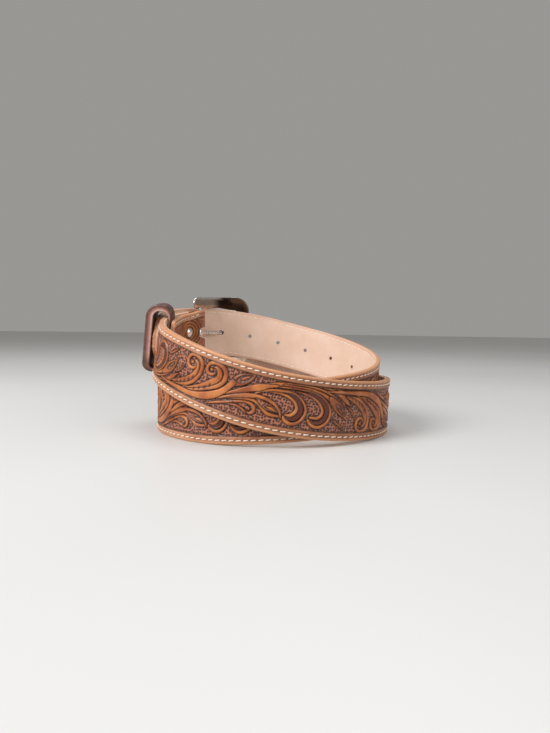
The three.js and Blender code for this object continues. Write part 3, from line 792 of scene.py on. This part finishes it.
# Each line of stitches: its place out from the strap's face and up from its middle, the angles it runs
# between, the side it faces, its thickness
STITCH_LINES = [
    ("stitches_outside", outside_line, 146, TIP_STARTS_AT, 1, 0.38),
    ("stitches_inside", inside_line, LINING_STARTS_AT + 1, TIP_STARTS_AT, -1, 0.24),
    ("stitches_turned_back", turned_back_line, 147.5, 181, -1, 0.32),
]


def stitch_points(run, edge, line, side, thick):
    """One stitch as rings of points, arched between the holes that it dips into."""
    share = np.linspace(-1, 1, STITCH_COUNT)
    at = angle_at(run + share * STITCH_LENGTH / 2)
    face, rise = line(at)
    high = edge * rise + STITCH_SLANT * share * side
    full = thick * np.sqrt(1 - STITCH_TAPER * share ** 6)
    around = circle(STITCH_SIDES)
    arched = STITCH_FLATNESS * full[:, None] * np.sin(around)
    sunk = STITCH_SINK * share[:, None] ** 4 + STITCH_SEAT
    off = face[:, None] + side * (arched - sunk)
    lift = high[:, None] + full[:, None] * np.cos(around)
    return placed(strap_frame(at), off, lift).reshape(-1, 3), loft_faces(STITCH_COUNT, STITCH_SIDES)


def make_stitches(bright, dull):
    for name, line, start, end, side, thick in STITCH_LINES:
        parts = []
        for edge in (-1, 1):
            for run in np.arange(run_at(start), run_at(end), STITCH_PITCH):
                parts.append(stitch_points(run, edge, line, side, thick))
        add_object(name, joined(parts), bright if side > 0 else dull, "thread")


# Buckle

# How far on either side of a point its heading is measured, as a share of the line
HEADING_REACH = 0.004


def arc_points(centre, radius, start, end):
    angle = np.radians(np.linspace(start, end, CORNER_COUNT))
    return np.stack([centre[0] + radius * np.cos(angle), centre[1] + radius * np.sin(angle)], -1)


def spaced(points, count, closed=False, crowd=False):
    """Points and headings at even shares of a polyline's length, or crowded towards both its ends."""
    gone = distances(points)
    share = np.linspace(0, 1, count, endpoint=not closed)
    if crowd:
        share = (1 - np.cos(np.pi * share)) / 2

    def spot(shares):
        return np.stack([np.interp(shares * gone[-1], gone, points[:, i]) for i in (0, 1)], -1)

    before, after = share - HEADING_REACH, share + HEADING_REACH
    if closed:
        heading = spot(np.mod(after, 1)) - spot(np.mod(before, 1))
    else:
        heading = spot(np.clip(after, 0, 1)) - spot(np.clip(before, 0, 1))
    heading /= np.linalg.norm(heading, axis=1)[:, None]
    return spot(share), heading, share, gone[-1]


def squared(wave, power):
    """A sine or cosine with fuller corners, for powers below 1."""
    return np.sign(wave) * np.abs(wave) ** power


def on_buckle(at, high, out_by):
    radius = along(FRAME_ARCH, "radius", at)[0] + out_by
    z = FRAME_MIDDLE_Z + FRAME_CLIMB * (FRAME_MIDDLE_AT - at) + high
    return polar(np.radians(at), radius, z) + [*COIL_AXIS, 0]


def bar_centre(z):
    origin, _, out, _ = strap_frame(FOLD_AT)
    centre = origin - out * FOLD_DEPTH
    return np.array([centre[0], centre[1], z])


def buckle_sections():
    top = FRAME_HEIGHT / 2
    heel = (FRAME_MIDDLE_AT - FRAME_HEEL_AT) * FRAME_MM_PER_DEGREE
    far = (FRAME_MIDDLE_AT - FRAME_FAR_AT) * FRAME_MM_PER_DEGREE
    corner = far - FRAME_CORNER
    outline = np.vstack([
        [(heel, top)],
        arc_points((corner, top - FRAME_CORNER), FRAME_CORNER, 90, 0),
        arc_points((corner, FRAME_CORNER - top), FRAME_CORNER, 0, -90),
        [(heel, -top)],
    ])
    spot, heading, share, length = spaced(outline, FRAME_COUNT, crowd=True)
    inward = np.stack([heading[:, 1], -heading[:, 0]], -1)
    from_end = np.minimum(share, 1 - share) * length
    shut = np.clip(1 - from_end / FRAME_HEEL_ROUNDING, 0, 1)
    full = np.sqrt(np.maximum(1 - shut ** 2, FRAME_HEEL_LEAST))[:, None]
    wide = smoothstep(spot[:, 0], FRAME_WIDENS_FROM, corner)[:, None]
    width = FRAME_ARM + (FRAME_FAR_END - FRAME_ARM) * wide
    around = circle(FRAME_SIDES)[None, :]
    deep = width / 2 + width / 2 * full * squared(np.cos(around), FRAME_SQUARING)
    out_by = FRAME_THICKNESS / 2 * full * squared(np.sin(around), FRAME_SQUARING)
    x = spot[:, :1] + inward[:, :1] * deep
    y = spot[:, 1:] + inward[:, 1:] * deep
    off_rim = np.maximum(smoothstep(deep, *TARNISH["rim"]), smoothstep(x, *TARNISH["end"]))
    facing = smoothstep(-np.sin(around), *TARNISH["facing"])
    more = TARNISH_LEAST + (1 - TARNISH_LEAST) * smoothstep(x, *TARNISH["along"])
    tarnish = facing * off_rim * more * smoothstep(y, *TARNISH["upward"])
    return on_buckle(FRAME_MIDDLE_AT - x / FRAME_MM_PER_DEGREE, y, out_by), tarnish


def rod(start, end, radius):
    loop = polar(circle(BAR_SIDES), radius)
    return np.vstack([start + loop, end + loop]), loft_faces(2, BAR_SIDES)


def eye_ring(middle):
    """The prong's upright eye with softly rounded rims, as points and faces."""
    inner, outer, squaring = (PRONG_EYE[name] for name in ("inner", "outer", "squaring"))
    turn = circle(EYE_SIDES)
    wide = (inner + outer) / 2 + (outer - inner) / 2 * squared(np.cos(turn), squaring)
    high = PRONG_EYE["height"] / 2 * squared(np.sin(turn), squaring)
    points = polar(circle(EYE_COUNT)[:, None], wide, high)
    return middle + points.reshape(-1, 3), loft_faces(EYE_COUNT, EYE_SIDES, ring=True)


def make_buckle(material):
    sections, tarnish = buckle_sections()
    middle_z = on_buckle(FOLD_AT, 0, 0)[2]
    reach = (FRAME_HEIGHT - FRAME_ARM) / 2
    bar = rod(bar_centre(middle_z - reach), bar_centre(middle_z + reach), BAR_RADIUS)
    cast = loft(sections, {"tarnish": tarnish})
    add_object("buckle", cast, material, "buckle_metal", "buckle_frame")
    add_object("buckle_heel_bar", joined([bar]), material, "buckle_metal", "buckle_frame")


def prong_sections():
    at = PRONG_ROUTE["at"]
    origin, _, out, _ = strap_frame(at)
    level = out * [1, 1, 0]
    level /= np.linalg.norm(level, axis=1)[:, None]
    route = origin + level * PRONG_ROUTE["out"][:, None]
    line, heading, share, length = spaced(smooth_line(route[:, :2], PRONG_STEPS), PRONG_COUNT)
    sideways = np.stack([heading[:, 1], -heading[:, 0], 0 * share], -1)
    shut = np.clip(1 - (1 - share) * length / PRONG_POINT["length"], 0, 1)
    radius = (PRONG_RADIUS * np.sqrt(1 - PRONG_POINT["shut"] * shut ** 2))[:, None, None]
    around = circle(PRONG_SIDES)[None, :, None]
    middle = np.column_stack([line, np.full(PRONG_COUNT, PRONG_Z)])[:, None]
    upright = np.array([0, 0, 1])
    return middle + radius * (sideways[:, None] * np.cos(around) + upright * np.sin(around))


def make_prong(material):
    sections = prong_sections()
    shank = (sections.reshape(-1, 3), loft_faces(*sections.shape[:2]))
    eye = eye_ring(bar_centre(PRONG_Z))
    add_object("prong_pin", joined([shank, eye]), material, "buckle_metal", "prong")


def make_snap(material):
    origin, up, out, forward = strap_frame(SNAP_AT)
    middle = origin + up * SNAP_RISE - out * SNAP_DEPTH
    angle = circle(SNAP_SIDES)[None, :, None]
    radius, height = (SNAP_PROFILE[name][:, None, None] for name in ("radius", "height"))
    loops = middle + radius * (forward * np.cos(angle) + up * np.sin(angle)) - out * height
    add_object("snap_stud", loft(loops), material, "buckle_metal", "snap_button")


# Keeper

def keeper_outline():
    """The keeper's inner outline round the strap, as points out and up from the face's middle."""
    inside, outside, low, high = (KEEPER_BOX[name] for name in ("inside", "outside", "low", "high"))
    inner_foot, outer_foot, arch = (KEEPER_CORNER[name] for name in ("inner_foot", "outer_foot", "arch"))
    return np.vstack([
        [(inside + inner_foot, low)],
        arc_points((outside - outer_foot, low + outer_foot), outer_foot, -90, 0),
        arc_points((outside - arch, high - arch), arch, 0, 90),
        arc_points((inside + arch, high - arch), arch, 90, 180),
        arc_points((inside + inner_foot, low + inner_foot), inner_foot, 180, 270),
    ])


def keeper_sections():
    spot, heading, _, _ = spaced(keeper_outline(), KEEPER_COUNT, closed=True)
    level = np.where(heading[:, :1] > 0, KEEPER_THICKNESS["bottom"], KEEPER_THICKNESS["arch"])
    upright = np.where(heading[:, 1:] > 0, KEEPER_THICKNESS["outer"], KEEPER_THICKNESS["inner"])
    thickness = level * heading[:, :1] ** 2 + upright * heading[:, 1:] ** 2
    half = KEEPER_WIDTH / 2
    # The section's points: how far past the middle, how deep in the thickness, sunk by how much
    turn = np.linspace(0, np.pi / 2, EDGE_COUNT)
    side_deep, side_sunk = KEEPER_SIDE["deep"], KEEPER_SIDE["sunk"]
    across = np.linspace(1, -1, KEEPER_ACROSS_COUNT)[1:-1] * (half - KEEPER_EDGE)
    groove = pressed(np.abs(across) - KEEPER_GROOVE["at"], KEEPER_GROOVE["width"])
    edge = half - KEEPER_EDGE + KEEPER_EDGE * np.cos(turn)
    drop = KEEPER_EDGE * (np.sin(turn) - 1)
    side = half - side_sunk
    past = mirrored(side, edge, across, -1)
    deep = mirrored(side_deep, 1 + 0 * turn, 1 + 0 * across)
    away = thickness * deep + mirrored(0 * side, drop, -KEEPER_GROOVE["depth"] * groove)
    x = spot[:, :1] + heading[:, 1:] * away
    y = spot[:, 1:] - heading[:, :1] * away
    at = KEEPER_AT + past[None, :] / KEEPER_MM_PER_DEGREE + 0 * x
    on_side = mirrored(1 + 0 * side, 0 * turn, 0 * across)
    # Painted shade: the cut side's painted highlight and reddish-brown fade to the dark base towards the
    # keeper's bottom
    painted_light = smoothstep(spot[:, 1:], *KEEPER_PAINTED_LIGHT_BETWEEN)
    painted_light = KEEPER_PAINTED_LIGHT_LEAST + (1 - KEEPER_PAINTED_LIGHT_LEAST) * painted_light
    fields = {
        "rim": painted_light * on_side * pressed(deep - KEEPER_PAINTED_HIGHLIGHT["at"], KEEPER_PAINTED_HIGHLIGHT["width"]),
        "body": painted_light * on_side * smoothstep(-deep, *KEEPER_BODY),
        "cut": mirrored(0 * side, 0 * turn, groove),
        # Painted shade: the keeper's inner face is painted nearly black
        "inner": (deep == 0) * 1.0,
    }
    return on_strap(at, x, y), {name: np.broadcast_to(value, x.shape) for name, value in fields.items()}


def make_keeper(material):
    loops, fields = keeper_sections()
    mesh = loft(loops, fields, ring=True)
    add_object("keeper_loop", mesh, material, "keeper_leather", "keeper")


# Materials

# Their colours, in linear red, green and blue, and the pairs that a colour varies between
COLOURS = {
    "ground": (.38, .145, .092), "stain": (.095, .016, .006), "worn_edge": (.52, .25, .125),
    "dots": (.012, .004, .004), "cut": (.02, .006, .003),
    "lining_fleck": (.45, .26, .18), "lining_edge": (.50, .26, .15),
    # keeper_rim is a painted highlight on the cut side; keeper_body is the cut side's own reddish-brown
    "keeper_body": (.30, .115, .075), "keeper_rim": (.66, .44, .40),
    # keeper_inner is painted shade on the keeper's inner face
    "keeper_inner": (.03, .012, .009), "keeper_cut": (.02, .008, .006),
    "tarnish_brown": (.44, .32, .25), "tarnish_black": (.032, .017, .010),
    "sky": (1.0, .97, .93),
}
SHADES = {
    "form": ((.27, .066, .018), (.52, .178, .048)),
    # The border's pair towards the key light, and its pair in painted shade towards +X
    "border_towards_light": ((.40, .165, .080), (.58, .285, .160)),
    "border_in_painted_shade": ((.25, .088, .038), (.41, .170, .085)),
    "lining": ((.68, .46, .345), (.77, .57, .455)),
    "keeper": ((.05, .018, .012), (.14, .05, .035)),
    "plate": ((.78, .76, .73), (.60, .57, .53)),
    "thread": ((.74, .60, .46), (.90, .80, .68)),
    "thread_inside": ((.78, .62, .50), (.88, .76, .66)),
    "floor": ((.60, .60, .595), (.64, .64, .635)),
}
# Painted shade: the border goes from its lighter to its darker pair between these places along X, in
# metres, darker away from the key light on the left
BORDER_PAINTED_SHADE_ALONG_X = (-0.06, 0.03)


def new_material(name):
    material = bpy.data.materials.new(name)
    material.use_nodes = True
    tree = material.node_tree
    return material, tree, tree.nodes["Principled BSDF"]


def node(tree, kind, inputs=None, **settings):
    """A new node. Inputs are numbers, colours or the sockets that feed them."""
    made = tree.nodes.new(kind)
    for key, value in settings.items():
        setattr(made, key, value)
    feed_all(tree, made, inputs or {})
    return made


def feed(tree, socket, value):
    if isinstance(value, bpy.types.NodeSocket):
        tree.links.new(value, socket)
    else:
        socket.default_value = value


def feed_all(tree, made, inputs):
    for key, value in inputs.items():
        feed(tree, made.inputs[key], value)


def field(tree, name, strength=None):
    """A piece's field by its name, at its full strength or times another value."""
    value = node(tree, "ShaderNodeAttribute", attribute_name=name).outputs["Fac"]
    return value if strength is None else times(tree, value, strength)


def place(tree):
    return node(tree, "ShaderNodeTexCoord").outputs["Object"]


def noise(tree, scale, detail=3.0, roughness=0.55):
    inputs = {"Vector": place(tree), "Scale": scale, "Detail": detail, "Roughness": roughness}
    return node(tree, "ShaderNodeTexNoise", inputs).outputs["Fac"]


def mix(tree, share, first, second):
    made = node(tree, "ShaderNodeMix", data_type="RGBA")
    feed(tree, made.inputs["Factor"], share)
    feed(tree, made.inputs[6], first)
    feed(tree, made.inputs[7], second)
    return made.outputs[2]


def spread(tree, value, low, high, to_low=0.0, to_high=1.0):
    inputs = {"Value": value, "From Min": low, "From Max": high, "To Min": to_low, "To Max": to_high}
    return node(tree, "ShaderNodeMapRange", inputs).outputs["Result"]


def times(tree, first, second):
    made = node(tree, "ShaderNodeMath", operation="MULTIPLY")
    feed(tree, made.inputs[0], first)
    feed(tree, made.inputs[1], second)
    return made.outputs[0]


def bump(tree, height, distance, strength=1.0, under=None):
    inputs = {"Height": height, "Distance": distance, "Strength": strength}
    if under is not None:
        inputs["Normal"] = under
    return node(tree, "ShaderNodeBump", inputs).outputs["Normal"]


def clouds(tree, scale, detail=3.0, between=(0.3, 0.7), to=(0.0, 1.0)):
    """Noise with more contrast: its values between two levels, spread over a range."""
    return spread(tree, noise(tree, scale, detail), *between, *to)


def tone(name):
    return (*COLOURS[name], 1.0)


def toned(tree, share, name):
    """A mix of the two shades of a colour."""
    return mix(tree, share, *((*shade, 1.0) for shade in SHADES[name]))


def tooled_leather():
    material, tree, shader = new_material("tooled_leather")
    mottled = toned(tree, clouds(tree, scale=90, between=(0.35, 0.65)), "form")
    cloudy = clouds(tree, scale=140)
    sideways = node(tree, "ShaderNodeSeparateXYZ", {"Vector": place(tree)}).outputs["X"]
    # Painted shade: the border darkens towards +X, away from the key light
    painted_shade = spread(tree, sideways, *BORDER_PAINTED_SHADE_ALONG_X)
    border = mix(tree, painted_shade, toned(tree, cloudy, "border_towards_light"), toned(tree, cloudy, "border_in_painted_shade"))
    shown = mix(tree, field(tree, "border"), mottled, border)
    patchy = clouds(tree, scale=260, to=(0.75, 1.0))
    layers = [
        ("ground", patchy, "ground"), ("stain", 0.95, "stain"), ("rim", None, "worn_edge"),
        ("dots", 0.92, "dots"), ("cut", 0.95, "cut"),
    ]
    for name, strength, shade in layers:
        shown = mix(tree, field(tree, name, strength), shown, tone(shade))
    grain = bump(tree, noise(tree, scale=2600, detail=4), distance=0.00012, strength=0.5)
    pores = node(tree, "ShaderNodeTexVoronoi", {"Vector": place(tree), "Scale": 1500.0}).outputs["Distance"]
    feed_all(tree, shader, {
        "Base Color": shown,
        "Roughness": clouds(tree, scale=700, to=(0.36, 0.52)),
        "Specular IOR Level": 0.35,
        "Coat Weight": 0.1,
        "Coat Roughness": 0.3,
        "Normal": bump(tree, pores, distance=0.0001, strength=0.35, under=grain),
    })
    return material


def natural_leather():
    material, tree, shader = new_material("natural_leather")
    soft = toned(tree, clouds(tree, scale=45, detail=5), "lining")
    flecks = clouds(tree, scale=900, detail=2, between=(0.62, 0.8), to=(0, 0.2))
    flecked = mix(tree, flecks, soft, tone("lining_fleck"))
    grain = bump(tree, noise(tree, scale=2200, detail=5), distance=0.00015, strength=0.6)
    waves = noise(tree, scale=160, detail=2)
    feed_all(tree, shader, {
        "Base Color": mix(tree, field(tree, "rim", 0.5), flecked, tone("lining_edge")),
        "Roughness": clouds(tree, scale=400, to=(0.5, 0.68)),
        "Normal": bump(tree, waves, distance=0.0006, strength=0.25, under=grain),
    })
    return material


def keeper_leather():
    material, tree, shader = new_material("keeper_leather")
    shown = toned(tree, clouds(tree, scale=260, detail=4, between=(0.35, 0.65)), "keeper")
    patchy = clouds(tree, scale=420, detail=3, to=(0.6, 1.0))
    # Over the dark base: the cut side's own reddish-brown, its painted highlight, the inner face's painted
    # shade, and the groove
    for name, strength in (("body", None), ("rim", patchy), ("inner", None), ("cut", 0.85)):
        shown = mix(tree, field(tree, name, strength), shown, tone("keeper_" + name))
    feed_all(tree, shader, {
        "Base Color": shown,
        "Roughness": clouds(tree, scale=600, to=(0.38, 0.55)),
        "Coat Weight": 0.2,
        "Coat Roughness": 0.3,
        "Normal": bump(tree, noise(tree, scale=1500, detail=4), distance=0.0002, strength=0.6),
    })
    return material


def buckle_metal():
    material, tree, shader = new_material("buckle_metal")
    dull = clouds(tree, scale=220, detail=4, between=(0.35, 0.7))
    plated = toned(tree, dull, "plate")
    tarnish = field(tree, "tarnish")
    browned = mix(tree, spread(tree, tarnish, 0, 0.5), plated, tone("tarnish_brown"))
    feed_all(tree, shader, {
        "Base Color": mix(tree, spread(tree, tarnish, 0.5, 1), browned, tone("tarnish_black")),
        "Roughness": clouds(tree, scale=500, detail=3, to=(0.16, 0.3)),
        "Metallic": 1.0,
        "Normal": bump(tree, noise(tree, scale=350, detail=2), distance=0.0001, strength=0.3),
    })
    return material


def thread(name):
    material, tree, shader = new_material(name)
    wave = {"Vector": place(tree), "Scale": 900.0, "Distortion": 1.5}
    strands = node(tree, "ShaderNodeTexWave", wave).outputs["Fac"]
    feed_all(tree, shader, {
        "Base Color": toned(tree, clouds(tree, scale=500, detail=2), name),
        "Roughness": 0.55,
        "Normal": bump(tree, strands, distance=0.0001, strength=0.5),
    })
    return material


def floor_paint():
    material, tree, shader = new_material("floor_paint")
    shade = toned(tree, clouds(tree, scale=3, detail=2), "floor")
    feed_all(tree, shader, {"Base Color": shade, "Roughness": 0.4})
    return material


# Room, light and camera, in metres and degrees

CAMERA_AT = (0.00725, -0.4413, 0.0720)
CAMERA_PITCH = 3.55
CAMERA_ROLL = 0.73
PHOTO_FOCAL = 597.6
PHOTO_LONG_SIDE = 733
SENSOR = 36.0
CLIP = (0.01, 50)
FLOOR_RADIUS = 9.0
FLOOR_SIDES = 96
WORLD_LIGHT = 0.32

# Each light's name, place, width and power
LIGHTS = [
    ("key", (-1.0, -0.7, 0.95), 0.8, 24),
    ("overhead", (0.1, 0.1, 1.5), 1.0, 9),
    ("right_fill", (1.0, -0.8, 0.6), 1.0, 5),
]


def make_floor():
    rim = polar(circle(FLOOR_SIDES), FLOOR_RADIUS)
    mesh = bpy.data.meshes.new("floor")
    mesh.from_pydata(rim.tolist(), [], [list(range(len(rim)))])
    floor = bpy.data.objects.new("floor", mesh)
    link(floor)
    mesh.materials.append(floor_paint())


def make_lights():
    for name, at, size, power in LIGHTS:
        data = bpy.data.lights.new(name, "AREA")
        data.shape = "DISK"
        data.size = size
        data.energy = power
        light = bpy.data.objects.new(name, data)
        light.location = at
        towards = -light.location
        light.rotation_mode = "QUATERNION"
        light.rotation_quaternion = towards.to_track_quat("-Z", "Y")
        link(light)
    world = bpy.data.worlds.new("studio")
    world.use_nodes = True
    background = world.node_tree.nodes["Background"]
    background.inputs["Color"].default_value = tone("sky")
    background.inputs["Strength"].default_value = WORLD_LIGHT
    bpy.context.scene.world = world


def make_camera():
    data = bpy.data.cameras.new("camera")
    data.sensor_width = SENSOR
    data.lens = PHOTO_FOCAL * SENSOR / PHOTO_LONG_SIDE
    data.clip_start, data.clip_end = CLIP
    camera = bpy.data.objects.new("camera", data)
    tilt = Matrix.Rotation(math.radians(90 - CAMERA_PITCH), 4, "X")
    roll = Matrix.Rotation(math.radians(CAMERA_ROLL), 4, "Z")
    camera.matrix_world = Matrix.Translation(CAMERA_AT) @ tilt @ roll
    link(camera)
    bpy.context.scene.camera = camera


def main():
    bpy.context.scene.view_settings.view_transform = "Standard"
    make_camera()
    make_lights()
    make_floor()
    leather, metal = tooled_leather(), buckle_metal()
    make_strap(leather)
    make_lining(natural_leather())
    make_stitches(thread("thread"), thread("thread_inside"))
    make_buckle(metal)
    make_prong(metal)
    make_snap(metal)
    make_keeper(keeper_leather())


main()
